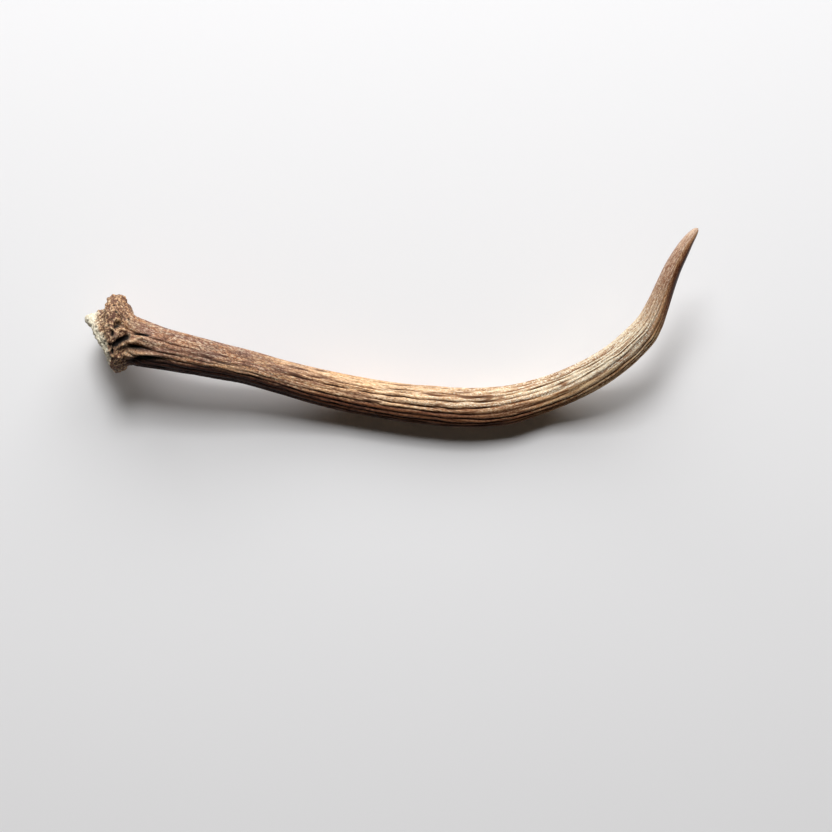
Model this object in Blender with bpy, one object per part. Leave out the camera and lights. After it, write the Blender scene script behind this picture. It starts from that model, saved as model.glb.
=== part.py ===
"""A shed deer antler: one grown piece of bone, a single unbranched beam that curls up to its tip.

It lies on two knobs under its burr and on the outside of its bend, with the tip in the air. +X runs from
the burr to the bend, +Y towards the side that the tip curls to, and +Z is up. The origin is the middle of
the antler's box, on the surface that it lies on.

Two numbers place a point of the surface. "Along" is about the distance over the surface, in millimetres,
from the middle of the seal (0) over the rim of the burr (32) to the tip (400). "Around" is the angle about
the middle, in degrees: 0 is up, 90 the outside of the bend (-Y) and -90 the inside (+Y).
"""

import math
import random

import bmesh
import bpy
from mathutils import Matrix, Vector, kdtree

MM = 0.001
UP = Vector((0.0, 0.0, 1.0))

# How the mesh is divided: a crest and a valley for each gutter, and rings closer at the burr.
GUTTERS = 24
COLUMNS = 2 * GUTTERS
BURR_STEP = 2.2
SHAFT_STEP = 5.0
TIP_STEP = 1.6
BURR_END = 54.0
TIP_START = 393.0

# The rings that give the antler's course and its thickness, in millimetres: (along, x, y, z of the middle,
# the way that it faces in plan in degrees from +X, half width, half height).
RINGS = [
    (0.0, -170.6, 41.3, 26.0, 28.0, 0.0, 0.0),
    (5.0, -170.8, 41.2, 26.0, 28.0, 5.0, 5.8),
    (10.0, -171.2, 41.1, 26.0, 28.0, 10.0, 11.6),
    (13.2, -170.4, 41.5, 26.1, 26.0, 12.8, 14.8),
    (17.0, -168.6, 42.2, 26.4, 15.0, 13.8, 16.0),
    (21.5, -166.1, 42.9, 26.8, 6.0, 14.9, 17.3),
    (27.0, -164.0, 43.8, 27.1, 3.0, 19.0, 21.6),
    (32.0, -160.5, 44.0, 27.3, 0.0, 20.0, 22.8),
    (37.5, -156.5, 43.1, 28.4, -2.0, 16.8, 19.2),
    (43.5, -152.5, 40.9, 30.0, -5.0, 14.0, 15.0),
    (49.5, -147.2, 38.8, 31.1, -8.0, 12.7, 13.0),
    (60.0, -136.9, 36.1, 32.0, -12.0, 11.5, 11.7),
    (74.0, -123.6, 33.2, 31.7, -13.0, 10.7, 10.7),
    (89.0, -108.4, 29.9, 29.3, -12.0, 9.9, 9.8),
    (108.0, -90.7, 26.1, 25.2, -14.0, 9.3, 9.1),
    (127.0, -72.2, 21.0, 19.8, -16.0, 9.3, 8.9),
    (146.0, -54.5, 16.4, 14.6, -14.0, 9.8, 9.1),
    (165.0, -35.7, 12.3, 11.4, -11.0, 10.2, 9.4),
    (184.0, -17.7, 9.1, 10.9, -8.0, 10.4, 9.5),
    (203.0, 1.9, 6.7, 10.9, -6.0, 10.7, 9.6),
    (228.0, 26.4, 4.9, 10.6, -1.0, 10.9, 9.6),
    (250.0, 48.2, 6.2, 10.0, 10.0, 10.8, 9.9),
    (272.0, 69.0, 11.7, 10.6, 18.0, 9.7, 9.7),
    (293.0, 88.5, 19.6, 19.6, 26.0, 9.2, 9.9),
    (315.0, 106.2, 30.2, 30.4, 35.0, 8.5, 9.5),
    (334.0, 119.2, 42.4, 39.2, 51.0, 8.0, 8.9),
    (344.0, 124.0, 49.6, 43.2, 61.0, 7.0, 7.8),
    (351.0, 126.7, 55.8, 45.9, 67.0, 6.3, 6.9),
    (358.0, 129.3, 62.8, 48.7, 70.0, 5.6, 6.1),
    (367.0, 131.9, 70.1, 51.9, 68.0, 5.1, 5.5),
    (376.0, 135.0, 77.9, 55.0, 65.0, 4.6, 4.9),
    (384.0, 138.6, 85.0, 57.6, 61.0, 4.0, 4.2),
    (392.0, 142.3, 91.4, 59.6, 56.0, 3.0, 3.1),
    (396.6, 145.0, 95.1, 60.6, 52.0, 2.1, 2.1),
    (399.0, 146.5, 97.0, 61.0, 50.0, 1.2, 1.2),
    (400.0, 147.3, 97.8, 61.1, 50.0, 0.0, 0.0),
]
RIM = 32.0

# How deep the gutters are cut: (along, millimetres). They run out on the polished tip.
GUTTER_DEPTH = [
    (0.0, 0.0),
    (30.0, 0.0),
    (36.0, 0.8),
    (43.0, 1.0),
    (56.0, 0.9),
    (92.0, 0.6),
    (190.0, 0.7),
    (290.0, 0.7),
    (337.0, 0.5),
    (357.0, 0.15),
    (370.0, 0.0),
    (400.0, 0.0),
]

# The gutters of the upper face, by number: (along, around, share of the depth).
UPPER_GUTTERS = {
    -4: [(0.0, -60.0, 1.0), (60.0, -58.0, 0.8), (150.0, -60.0, 0.6), (285.0, -57.0, 1.0), (400.0, -60.0, 1.0)],
    -3: [(0.0, -45.0, 1.0), (90.0, -44.0, 0.6), (183.0, -42.0, 1.2), (248.0, -41.0, 1.0), (400.0, -45.0, 0.7)],
    -2: [(0.0, -30.0, 1.0), (70.0, -26.0, 0.5), (150.0, -29.0, 0.7), (226.0, -28.0, 1.0), (264.0, -32.0, 1.3),
         (320.0, -30.0, 0.8), (400.0, -30.0, 1.0)],
    -1: [(0.0, -15.0, 1.0), (54.0, -18.0, 1.2), (90.0, -12.0, 0.5), (130.0, -13.0, 1.3), (204.0, -15.0, 1.1),
         (270.0, -16.0, 0.8), (400.0, -15.0, 0.9)],
    0: [(0.0, 0.0, 1.0), (50.0, -2.0, 0.7), (86.0, 3.0, 0.8), (160.0, 3.0, 0.8), (194.0, 5.0, 1.5),
        (226.0, 6.0, 1.5), (256.0, -1.0, 1.3), (275.0, 4.0, 1.2), (302.0, -6.0, 1.0), (400.0, 0.0, 0.8)],
    1: [(0.0, 15.0, 1.0), (50.0, 14.0, 1.6), (90.0, 14.0, 0.7), (136.0, 20.0, 1.4), (160.0, 17.0, 1.4),
        (182.0, 18.0, 1.0), (230.0, 23.0, 1.1), (285.0, 22.0, 1.0), (316.0, 10.0, 1.2), (400.0, 15.0, 1.0)],
    2: [(0.0, 30.0, 1.0), (50.0, 38.0, 1.5), (66.0, 31.0, 1.5), (110.0, 29.0, 1.6), (150.0, 33.0, 1.6),
        (182.0, 36.0, 1.7), (214.0, 39.0, 1.7), (252.0, 41.0, 1.7), (286.0, 44.0, 1.4), (330.0, 36.0, 1.2),
        (400.0, 30.0, 1.0)],
    3: [(0.0, 45.0, 1.0), (50.0, 50.0, 1.2), (110.0, 46.0, 1.0), (180.0, 50.0, 1.1), (242.0, 55.0, 1.4),
        (285.0, 56.0, 1.1), (330.0, 50.0, 1.0), (400.0, 45.0, 1.0)],
    4: [(0.0, 60.0, 1.0), (50.0, 63.0, 1.0), (180.0, 63.0, 1.0), (242.0, 66.0, 1.2), (400.0, 60.0, 1.0)],
}
GUTTER_WANDER = 2.6
GUTTER_SEED = 11

# Knobs and pits: (along, around, height, reach) in millimetres and degrees. A height below 0 is a pit.
KNOBS = [
    (33.0, -84.0, 1.0, 5.0),
    (28.0, -82.0, 1.2, 4.0),
    (31.0, -58.0, 1.2, 5.0),
    (32.0, 86.0, 0.8, 5.0),
    (29.0, 62.0, 1.6, 5.0),
    (35.0, -13.0, -1.6, 3.6),
    (30.8, 2.0, -2.2, 3.6),
    (29.8, 31.0, -2.4, 3.4),
    (35.0, 42.0, 1.6, 5.0),
    (33.0, -36.0, 1.4, 5.5),
    (13.0, -70.0, 1.8, 6.0),
    (36.0, -88.0, 1.2, 4.5),
    (43.0, -92.0, -1.4, 6.0),
    (34.5, 108.0, -3.0, 6.0),
    (36.0, 217.0, -3.4, 5.4),
]

# The two low knobs that the burr lies on, and the swell that they stand on.
FEET = [(32.5, 168.0, 2.8, 7.5), (31.0, 218.0, 4.1, 7.5), (29.5, 208.0, 5.4, 15.0)]

# Pearls round the hidden half of the burr's rim.
PEARLS = 7
PEARL_FIRST = 100.0
PEARL_LAST = 196.0
PEARL_SEED = 5

# Ridges and hollows that run over the surface: (height, half width, [(along, around), ...]). Where several
# hollows meet, they go no deeper than DEEPEST in all.
FOLDS = [
    (-3.0, 2.2, [(28.0, 20.0), (32.5, 18.0), (37.5, 10.0), (42.0, -2.0), (43.0, -10.0)]),
    (2.0, 2.3, [
        (29.5, 30.0), (34.0, 24.0), (39.0, 20.0), (44.0, 10.0), (49.0, -9.0), (54.0, -16.0), (62.0, -14.0),
    ]),
    (-1.8, 2.2, [(34.5, 28.0), (42.0, 22.0), (47.5, 17.0), (52.0, 13.0), (57.0, 11.0)]),
    (1.4, 2.4, [(44.5, 38.0), (48.0, 32.0), (52.0, 26.0), (58.0, 22.0), (66.0, 19.0)]),
    (-1.8, 2.8, [(41.5, 72.0), (47.5, 54.0), (52.5, 42.0), (58.0, 36.0), (66.0, 32.0)]),
    (0.6, 3.5, [(85.0, 12.0), (100.0, 14.0), (118.0, 14.0)]),
]
FOLD_SAMPLES = 24
DEEPEST = 3.0

# Small turns that lay the antler on its feet and the outside of its bend, in degrees about X and Y.
LIE_ROLL = -1.32
LIE_PITCH = 0.32

COLLECTION_NAME = "Deer antler"
NODE_NAME = "antler"
ANTLER_COLOUR = (0.42, 0.26, 0.145, 1.0)
ANTLER_ROUGHNESS = 0.62


def clear_scene():
    for thing in list(bpy.data.objects):
        bpy.data.objects.remove(thing, do_unlink=True)


def smooth_values(knots, place):
    """The values at a place between knots, on a smooth curve through them. A knot starts with its place."""
    last = len(knots) - 1
    low = 0
    while low < last - 1 and knots[low + 1][0] < place:
        low += 1
    before = knots[max(low - 1, 0)]
    start = knots[low]
    end = knots[low + 1]
    after = knots[min(low + 2, last)]
    span = end[0] - start[0]
    share = min(max((place - start[0]) / span, 0.0), 1.0)
    found = []
    for i in range(1, len(start)):
        leaving = (end[i] - before[i]) / (end[0] - before[0]) * span
        arriving = (after[i] - start[i]) / (after[0] - start[0]) * span
        found.append(
            start[i] * (2 * share**3 - 3 * share**2 + 1)
            + leaving * (share**3 - 2 * share**2 + share)
            + end[i] * (3 * share**2 - 2 * share**3)
            + arriving * (share**3 - share**2)
        )
    return found


def section(along):
    """What places the points of one ring: its middle, the way to its outside, half width and half height."""
    x, y, z, facing, half_width, half_height = smooth_values(RINGS, along)
    ahead = Vector((math.cos(math.radians(facing)), math.sin(math.radians(facing)), 0.0))
    return Vector((x, y, z)), ahead.cross(UP), max(half_width, 0.0), max(half_height, 0.0)


def plain_point(ring, around):
    """A point of the smooth antler, without its relief."""
    middle, outside, half_width, half_height = ring
    angle = math.radians(around)
    return middle + outside * (half_width * math.sin(angle)) + UP * (half_height * math.cos(angle))


def rings_near(along):
    """The ring at a place, and those just before and after it, which give the slope of the surface there."""
    reach = 0.4
    behind = max(along - reach, RINGS[0][0])
    beyond = min(along + reach, RINGS[-1][0])
    return section(along), section(behind), section(beyond)


def way_out(near, around):
    """The way straight out of the smooth surface."""
    ring, behind, beyond = near
    lengthwise = plain_point(beyond, around) - plain_point(behind, around)
    wide_ring = max(near[1:], key=lambda other: other[2])
    crosswise = plain_point(wide_ring, around + 2.0) - plain_point(wide_ring, around - 2.0)
    return crosswise.cross(lengthwise).normalized()


def gutter_courses():
    """Each gutter's course, (along, around, share of the depth), the upper face's first and then the rest."""
    chance = random.Random(GUTTER_SEED)
    courses = [UPPER_GUTTERS[number] for number in sorted(UPPER_GUTTERS)]
    pitch = 360.0 / GUTTERS
    for number in range(max(UPPER_GUTTERS) + 1, GUTTERS + min(UPPER_GUTTERS)):
        course = [(0.0, number * pitch, 1.0)]
        for along in range(40, 401, 45):
            wander = chance.uniform(-GUTTER_WANDER, GUTTER_WANDER)
            course.append((float(along), number * pitch + wander, chance.uniform(0.5, 1.5)))
        courses.append(course)
    first = courses[0]
    courses.append([(along, around + 360.0, share) for along, around, share in first])
    return courses


def notch(distance):
    """How much of a gutter's depth is left at a distance from its middle, in gutter widths."""
    return max(math.cos(math.pi * min(distance, 0.5)), 0.0) ** 2


def hump(distance, reach):
    """1 in the middle of a knob, and 0 at its reach."""
    return max(1.0 - (distance / reach) ** 2, 0.0) ** 2


def all_knobs():
    chance = random.Random(PEARL_SEED)
    pearls = []
    for number in range(PEARLS):
        around = PEARL_FIRST + (PEARL_LAST - PEARL_FIRST) * number / (PEARLS - 1)
        along = RIM + chance.uniform(-1.5, 2.5)
        height = chance.uniform(1.4, 2.8)
        reach = chance.uniform(4.4, 6.0)
        pearls.append((along, around + chance.uniform(-4.0, 4.0), height, reach))
    return KNOBS + FEET + pearls


def place_knobs():
    """Each knob as (along, middle, height, reach)."""
    placed = []
    for along, around, height, reach in all_knobs():
        placed.append((along, plain_point(section(along), around), height, reach))
    return placed


def place_folds():
    """Each fold as (tree of the points along it, height at each point, half width)."""
    placed = []
    for height, half_width, course in FOLDS:
        knots = [(number, along, around) for number, (along, around) in enumerate(course)]
        tree = kdtree.KDTree(FOLD_SAMPLES + 1)
        heights = []
        for number in range(FOLD_SAMPLES + 1):
            share = number / FOLD_SAMPLES
            along, around = smooth_values(knots, share * (len(course) - 1))
            tree.insert(plain_point(section(along), around), number)
            heights.append(height * math.sin(math.pi * (0.12 + 0.76 * share)))
        tree.balance()
        placed.append((tree, heights, half_width))
    return placed


def row_places():
    """Where the rings of the mesh are, from the middle of the seal to the tip."""
    places = [RINGS[0][0]]
    while places[-1] < RINGS[-1][0] - TIP_STEP:
        at = places[-1]
        if at < BURR_END:
            step = BURR_STEP
        elif at < TIP_START:
            step = SHAFT_STEP
        else:
            step = TIP_STEP
        places.append(at + step)
    places[-1] = RINGS[-1][0]
    return places


def carve_antler():
    """A grid wrapped round the antler, a column to each crest and valley, closed at the seal and the tip."""
    courses = gutter_courses()
    knobs = place_knobs()
    folds = place_folds()
    rows = row_places()
    mesh = bmesh.new()
    bmesh.ops.create_grid(mesh, x_segments=COLUMNS, y_segments=len(rows) - 1, size=1.0)
    by_row = {}
    for vertex in mesh.verts:
        row = round((vertex.co.y + 1.0) / 2.0 * (len(rows) - 1))
        column = round((vertex.co.x + 1.0) / 2.0 * COLUMNS)
        by_row.setdefault(row, []).append((column % COLUMNS, vertex))
    for row, members in by_row.items():
        along = rows[row]
        near = rings_near(along)
        half_width = near[0][2]
        depth = smooth_values(GUTTER_DEPTH, along)[0]
        lines = [smooth_values(course, along) for course in courses]
        calm = min(half_width / 3.0, 1.0)
        for column, vertex in members:
            share = (column % 2) / 2.0
            (low_around, low_share), (high_around, high_share) = lines[column // 2], lines[column // 2 + 1]
            around = low_around + (high_around - low_around) * share
            relief = -depth * (low_share * notch(share) + high_share * notch(1.0 - share))
            plain = plain_point(near[0], around)
            for knob_along, middle, height, reach in knobs:
                distance = max((plain - middle).length, abs(along - knob_along))
                relief += height * hump(distance, reach)
            for tree, heights, fold_half_width in folds:
                _, nearest, distance = tree.find(plain)
                relief += heights[nearest] * hump(distance, fold_half_width * 1.6)
            if relief < 0.0:
                relief = DEEPEST * math.tanh(relief / DEEPEST)
            vertex.co = (plain + way_out(near, around) * relief * calm) * MM
    bmesh.ops.remove_doubles(mesh, verts=mesh.verts, dist=0.01 * MM)
    bmesh.ops.recalc_face_normals(mesh, faces=mesh.faces)
    return mesh


def lay_down(mesh):
    """Turns the antler on to its feet and its bend, and puts the origin under the middle of its box."""
    roll = Matrix.Rotation(math.radians(LIE_ROLL), 4, "X")
    pitch = Matrix.Rotation(math.radians(LIE_PITCH), 4, "Y")
    bmesh.ops.transform(mesh, matrix=pitch @ roll, verts=mesh.verts)
    low = Vector([min(vertex.co[axis] for vertex in mesh.verts) for axis in range(3)])
    high = Vector([max(vertex.co[axis] for vertex in mesh.verts) for axis in range(3)])
    middle = (low + high) / 2
    bmesh.ops.translate(mesh, vec=(-middle.x, -middle.y, -low.z), verts=mesh.verts)


def bone_material():
    material = bpy.data.materials.new("antler_bone")
    material.use_nodes = True
    shader = material.node_tree.nodes["Principled BSDF"]
    shader.inputs["Base Color"].default_value = ANTLER_COLOUR
    shader.inputs["Roughness"].default_value = ANTLER_ROUGHNESS
    shader.inputs["Metallic"].default_value = 0.0
    return material


def main():
    clear_scene()
    parts = bpy.data.collections.new(COLLECTION_NAME)
    bpy.context.scene.collection.children.link(parts)
    carved = carve_antler()
    lay_down(carved)
    data = bpy.data.meshes.new(NODE_NAME)
    carved.to_mesh(data)
    carved.free()
    data.shade_smooth()
    data.materials.append(bone_material())
    parts.objects.link(bpy.data.objects.new(NODE_NAME, data))


main()
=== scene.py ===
"""How the shed deer antler looks: its bone, carved and coloured, on a pale table in soft studio light.

One piece stands for the whole antler. Two numbers place a point of it, as in the solid: "along" is the
distance over the surface in millimetres, from the middle of the seal (0) over the rim of the burr (32) to
the tip (400), and "around" is the angle about the middle in degrees, 0 up and 90 the outside of the bend.
"""

import math
import random

import bmesh
import bpy
import numpy as np
from mathutils import Matrix, Vector, noise


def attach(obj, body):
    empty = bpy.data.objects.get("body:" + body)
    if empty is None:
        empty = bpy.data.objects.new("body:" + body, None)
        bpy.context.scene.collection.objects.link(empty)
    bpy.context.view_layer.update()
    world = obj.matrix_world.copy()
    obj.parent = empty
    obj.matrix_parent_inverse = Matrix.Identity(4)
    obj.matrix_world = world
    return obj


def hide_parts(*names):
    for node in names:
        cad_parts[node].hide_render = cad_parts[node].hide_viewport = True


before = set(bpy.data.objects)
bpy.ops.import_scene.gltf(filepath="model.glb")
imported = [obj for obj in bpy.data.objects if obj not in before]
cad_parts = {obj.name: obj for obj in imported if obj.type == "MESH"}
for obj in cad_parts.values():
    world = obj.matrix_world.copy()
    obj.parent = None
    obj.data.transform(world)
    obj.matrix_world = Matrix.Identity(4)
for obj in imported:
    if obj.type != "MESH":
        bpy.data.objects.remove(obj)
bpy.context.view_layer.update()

MM = 0.001
UP = np.array((0.0, 0.0, 1.0))

# How the carved mesh is divided, in millimetres along, the least half width that gutters are spaced by, how
# near points are when they are joined, and the half width of the straight, round bone that the grain is laid
# out on.
GUTTERS = 24
COLUMNS_PER_GUTTER = 10
COLUMNS = GUTTERS * COLUMNS_PER_GUTTER
BURR_STEP = 0.5
BURR_END = 60.0
SHAFT_STEP = 1.2
TIP_START = 393.0
TIP_STEP = 0.5
THINNEST = 0.1
WELD = 0.002
COURSE_WIDTH = 10.0

# The rings that give the antler's course and its thickness, in millimetres: (along, x, y, z of the middle,
# the way that it faces in plan in degrees from +X, half width, half height).
RINGS = [
    (0.0, -170.6, 41.3, 26.0, 28.0, 0.0, 0.0),
    (5.0, -170.8, 41.2, 26.0, 28.0, 5.0, 5.8),
    (10.0, -171.2, 41.1, 26.0, 28.0, 10.0, 11.6),
    (13.2, -170.4, 41.5, 26.1, 26.0, 12.8, 14.8),
    (17.0, -168.6, 42.2, 26.4, 15.0, 13.8, 16.0),
    (21.5, -166.1, 42.9, 26.8, 6.0, 14.9, 17.3),
    (27.0, -164.0, 43.8, 27.1, 3.0, 19.0, 21.6),
    (32.0, -160.5, 44.0, 27.3, 0.0, 20.0, 22.8),
    (37.5, -156.5, 43.1, 28.4, -2.0, 16.8, 19.2),
    (43.5, -152.5, 40.9, 30.0, -5.0, 14.0, 15.0),
    (49.5, -147.2, 38.8, 31.1, -8.0, 12.7, 13.0),
    (60.0, -136.9, 36.1, 32.0, -12.0, 11.5, 11.7),
    (74.0, -123.6, 33.2, 31.7, -13.0, 10.7, 10.7),
    (89.0, -108.4, 29.9, 29.3, -12.0, 9.9, 9.8),
    (108.0, -90.7, 26.1, 25.2, -14.0, 9.3, 9.1),
    (127.0, -72.2, 21.0, 19.8, -16.0, 9.3, 8.9),
    (146.0, -54.5, 16.4, 14.6, -14.0, 9.8, 9.1),
    (165.0, -35.7, 12.3, 11.4, -11.0, 10.2, 9.4),
    (184.0, -17.7, 9.1, 10.9, -8.0, 10.4, 9.5),
    (203.0, 1.9, 6.7, 10.9, -6.0, 10.7, 9.6),
    (228.0, 26.4, 4.9, 10.6, -1.0, 10.9, 9.6),
    (250.0, 48.2, 6.2, 10.0, 10.0, 10.8, 9.9),
    (272.0, 69.0, 11.7, 10.6, 18.0, 9.7, 9.7),
    (293.0, 88.5, 19.6, 19.6, 26.0, 9.2, 9.9),
    (315.0, 106.2, 30.2, 30.4, 35.0, 8.5, 9.5),
    (334.0, 119.2, 42.4, 39.2, 51.0, 8.0, 8.9),
    (344.0, 124.0, 49.6, 43.2, 61.0, 7.0, 7.8),
    (351.0, 126.7, 55.8, 45.9, 67.0, 6.3, 6.9),
    (358.0, 129.3, 62.8, 48.7, 70.0, 5.6, 6.1),
    (367.0, 131.9, 70.1, 51.9, 68.0, 5.1, 5.5),
    (376.0, 135.0, 77.9, 55.0, 65.0, 4.6, 4.9),
    (384.0, 138.6, 85.0, 57.6, 61.0, 4.0, 4.2),
    (392.0, 142.3, 91.4, 59.6, 56.0, 3.0, 3.1),
    (396.6, 145.0, 95.1, 60.6, 52.0, 2.1, 2.1),
    (399.0, 146.5, 97.0, 61.0, 50.0, 1.2, 1.2),
    (400.0, 147.3, 97.8, 61.1, 50.0, 0.0, 0.0),
]
RIM = 32.0
TIP = RINGS[-1][0]

# How deep the gutters are, the narrow cut at the bottom of each, and the fine creases between them:
# (along, millimetres).
GUTTER_DEPTH = [
    (0.0, 0.0), (30.0, 0.0), (36.0, 0.6), (43.0, 0.7), (56.0, 0.5), (92.0, 0.3), (190.0, 0.4),
    (290.0, 0.4), (337.0, 0.35), (357.0, 0.12), (370.0, 0.0), (400.0, 0.0),
]
CUT_DEPTH = [
    (0.0, 0.0), (34.0, 0.0), (44.0, 0.35), (60.0, 0.35), (100.0, 0.35), (165.0, 0.65), (200.0, 0.75),
    (290.0, 0.6), (322.0, 0.42), (340.0, 0.36), (356.0, 0.12), (366.0, 0.0), (400.0, 0.0),
]
CREASE_DEPTH = [
    (0.0, 0.0), (36.0, 0.0), (48.0, 0.24), (90.0, 0.2), (150.0, 0.22), (200.0, 0.3), (262.0, 0.26),
    (292.0, 0.16), (344.0, 0.12), (360.0, 0.05), (372.0, 0.0), (400.0, 0.0),
]

# The gutters of the upper face, by number: (along, around, share of the depth).
UPPER_GUTTERS = {
    -4: [(0, -60, 1.0), (60, -58, 0.8), (150, -60, 0.6), (285, -57, 1.0), (400, -60, 1.0)],
    -3: [(0, -45, 1.0), (90, -44, 0.6), (183, -42, 1.2), (248, -41, 1.0), (400, -45, 0.7)],
    -2: [(0, -30, 1.0), (70, -26, 0.5), (150, -29, 0.7), (226, -28, 1.0), (264, -32, 1.3), (320, -30, 0.8),
         (400, -30, 1.0)],
    -1: [(0, -15, 1.0), (54, -18, 1.2), (90, -12, 0.5), (130, -13, 1.3), (204, -15, 1.1), (270, -16, 0.8),
         (400, -15, 0.9)],
    0: [(0, 0, 1.0), (50, -2, 0.7), (86, 3, 0.8), (160, 3, 0.8), (194, 5, 1.5), (226, 6, 1.5),
        (256, -1, 1.3), (275, 4, 1.2), (302, -6, 1.0), (400, 0, 0.8)],
    1: [(0, 15, 1.0), (50, 14, 1.6), (90, 14, 0.7), (136, 20, 1.4), (160, 17, 1.4), (182, 18, 1.0),
        (230, 23, 1.1), (285, 22, 1.0), (316, 10, 1.2), (400, 15, 1.0)],
    2: [(0, 30, 1.0), (50, 38, 1.5), (66, 31, 1.5), (110, 29, 1.6), (150, 33, 1.6), (182, 36, 1.7),
        (214, 39, 1.7), (252, 41, 1.7), (286, 44, 1.4), (330, 36, 1.2), (400, 30, 1.0)],
    3: [(0, 45, 1.0), (50, 50, 1.2), (110, 46, 1.0), (180, 50, 1.1), (242, 55, 1.4), (285, 56, 1.1),
        (330, 50, 1.0), (400, 45, 1.0)],
    4: [(0, 60, 1.0), (50, 63, 1.0), (180, 63, 1.0), (242, 66, 1.2), (400, 60, 1.0)],
}

# The other gutters wander by chance, in degrees, at these places along, and so do their shares of the depth.
GUTTER_KNOTS = range(40, 401, 45)
GUTTER_WANDER = 2.6
GUTTER_SHARES = (0.5, 1.5)
GUTTER_SEED = 11

# Waves of smooth noise on the surface, in millimetres: (size across, size lengthwise, part of the noise).
WOBBLE_WAVES = (2.4, 9.0, 13.0)
CUT_BREAK_WAVES = (3.0, 11.0, 7.0)
SWAY_WAVES = (4.0, 16.0, 3.0)
CREASE_BREAK_WAVES = (4.0, 10.0, 20.0)
LUMP_WAVES = (2.6, 14.0, 11.0)
SWELL_WAVES = (4.5, 30.0, 17.0)
RAGGED_WAVES = (1.6, 14.0, 31.0)
SEAL_WAVES = (1.8, 1.8, 9.0)

# The narrow cuts: how wide and how wavy they are in millimetres, how they fade out in places, and how deep
# they are where they look fully dark.
CUT_WIDTH = 0.3
CUT_NARROWEST = 0.55
CUT_WIDENING = 0.4
CUT_WOBBLE = 0.7
CUT_STRENGTH = 0.65
CUT_UNEVENNESS = 1.7
CUT_STRONGEST = 1.4
CUT_DARK_FROM = 0.5

# The fine creases between the gutters: (size across, length, share of the depth).
CREASE_SIZES = [(2.2, 60.0, 1.0), (1.2, 30.0, 0.75), (0.8, 13.0, 0.5)]
CREASE_SWAY = 1.6
CREASE_WIDTH = 0.085
CREASE_STRENGTH = 0.5
CREASE_UNEVENNESS = 1.8
CREASE_DARKNESS = 0.8
CREASE_DARK_FROM = 0.2
LUMP_SHARE = 0.6
SWELL_HEIGHT = 0.14

# Knobs and pits of the burr: (along, around, height, reach, darkness), darkness being the painted shade in a
# pit.
KNOBS = [
    (33.0, -84.0, 1.0, 5.0, 0.0),
    (28.0, -82.0, 1.2, 4.0, 0.0),
    (31.0, -58.0, 1.2, 5.0, 0.0),
    (32.0, 86.0, 0.8, 5.0, 0.0),
    (29.0, 62.0, 1.6, 5.0, 0.0),
    (35.0, -13.0, -1.6, 3.6, 0.5),
    (35.0, 42.0, 1.6, 5.0, 0.0),
    (33.0, -36.0, 1.4, 5.5, 0.0),
    (13.0, -70.0, 1.8, 6.0, 0.0),
    (36.0, -88.0, 1.2, 4.5, 0.0),
    (43.0, -92.0, -1.4, 6.0, 0.0),
    (34.5, 108.0, -3.0, 6.0, 0.0),
    (36.0, 217.0, -3.4, 5.4, 0.0),
    (31.2, 3.0, -2.4, 2.5, 1.3),
    (28.5, -10.0, -1.2, 1.2, 1.0),
    (30.3, 32.0, -2.6, 2.2, 1.4),
    (31.5, -47.0, -1.0, 1.8, 0.9),
    (35.5, -41.0, -0.9, 1.6, 0.8),
    (42.0, -45.0, -1.0, 1.6, 0.9),
    (37.5, -30.0, -0.7, 1.2, 0.8),
    (26.0, 20.0, -1.0, 1.1, 1.0),
    (29.0, 42.0, -0.8, 0.9, 1.0),
    (27.5, 34.0, -0.8, 0.9, 1.0),
    (31.5, 55.0, -0.9, 1.2, 0.9),
    (22.0, 14.0, -0.8, 0.9, 1.1),
    (23.5, 24.0, -0.9, 1.0, 1.2),
    (20.0, 4.0, -0.6, 0.8, 1.0),
]
FEET = [(32.5, 168.0, 2.8, 7.5, 0.0), (31.0, 218.0, 4.1, 7.5, 0.0), (29.5, 208.0, 5.4, 15.0, 0.0)]

# The pearls of the hidden part of the rim: how many there are and between which angles, the ranges of their
# distance off the rim, height and reach, and how far each may be turned.
PEARLS = 7
PEARL_FIRST = 100.0
PEARL_LAST = 196.0
PEARL_OFF_RIM = (-1.5, 2.5)
PEARL_HEIGHTS = (1.4, 2.8)
PEARL_REACHES = (4.4, 6.0)
PEARL_TURN = 4.0
PEARL_SEED = 5

# Ridges, hollows and slits that run over the surface: (height, half width, darkness, [(along, around), ...]),
# darkness being the painted shade in a hollow or slit.
FOLDS = [
    (-3.4, 1.6, 1.3, [(28.0, 23.0), (32.5, 21.5), (37.5, 14.0), (42.0, 1.0), (43.0, -8.0)]),
    (2.0, 2.0, 0.0, [
        (29.5, 30.0), (34.0, 24.0), (39.0, 20.0), (44.0, 10.0), (49.0, -9.0), (54.0, -16.0), (62.0, -14.0),
    ]),
    (-2.2, 1.9, 0.8, [(34.5, 28.0), (42.0, 22.0), (47.5, 17.0), (52.0, 13.0), (57.0, 11.0)]),
    (1.3, 1.8, 0.0, [(44.5, 38.0), (48.0, 32.0), (52.0, 26.0), (58.0, 22.0), (66.0, 19.0)]),
    (-1.8, 2.3, 0.9, [(41.5, 72.0), (47.5, 54.0), (52.5, 42.0), (58.0, 36.0), (66.0, 32.0)]),
    (-1.4, 1.3, 0.8, [(32.0, -5.0), (35.5, -12.0), (38.5, -24.0)]),
    (-1.1, 0.8, 1.3, [(45.5, -15.0), (50.0, -20.0), (54.5, -25.0)]),
    (0.5, 3.5, 0.0, [(85.0, 12.0), (100.0, 14.0), (118.0, 14.0)]),
    (-0.5, 0.5, 0.7, [(84.0, 3.0), (93.0, 6.0), (102.0, 7.0)]),
    (-0.3, 0.7, 0.6, [(330.0, 44.0), (334.0, 49.0), (341.0, 50.0)]),
]
FOLD_SAMPLES = 40
FOLD_ENDS = 0.12
FOLD_MARGIN = 5.0
FOLD_FOOT = 1.6
RIDGE_SHARPNESS = 1.3
WEAR_SHARPNESS = 3

# How deep a hollow can get, and the half width below which the tip's relief gets lower, in millimetres.
DEEPEST = 4.4
THIN_END = 3.0
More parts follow.
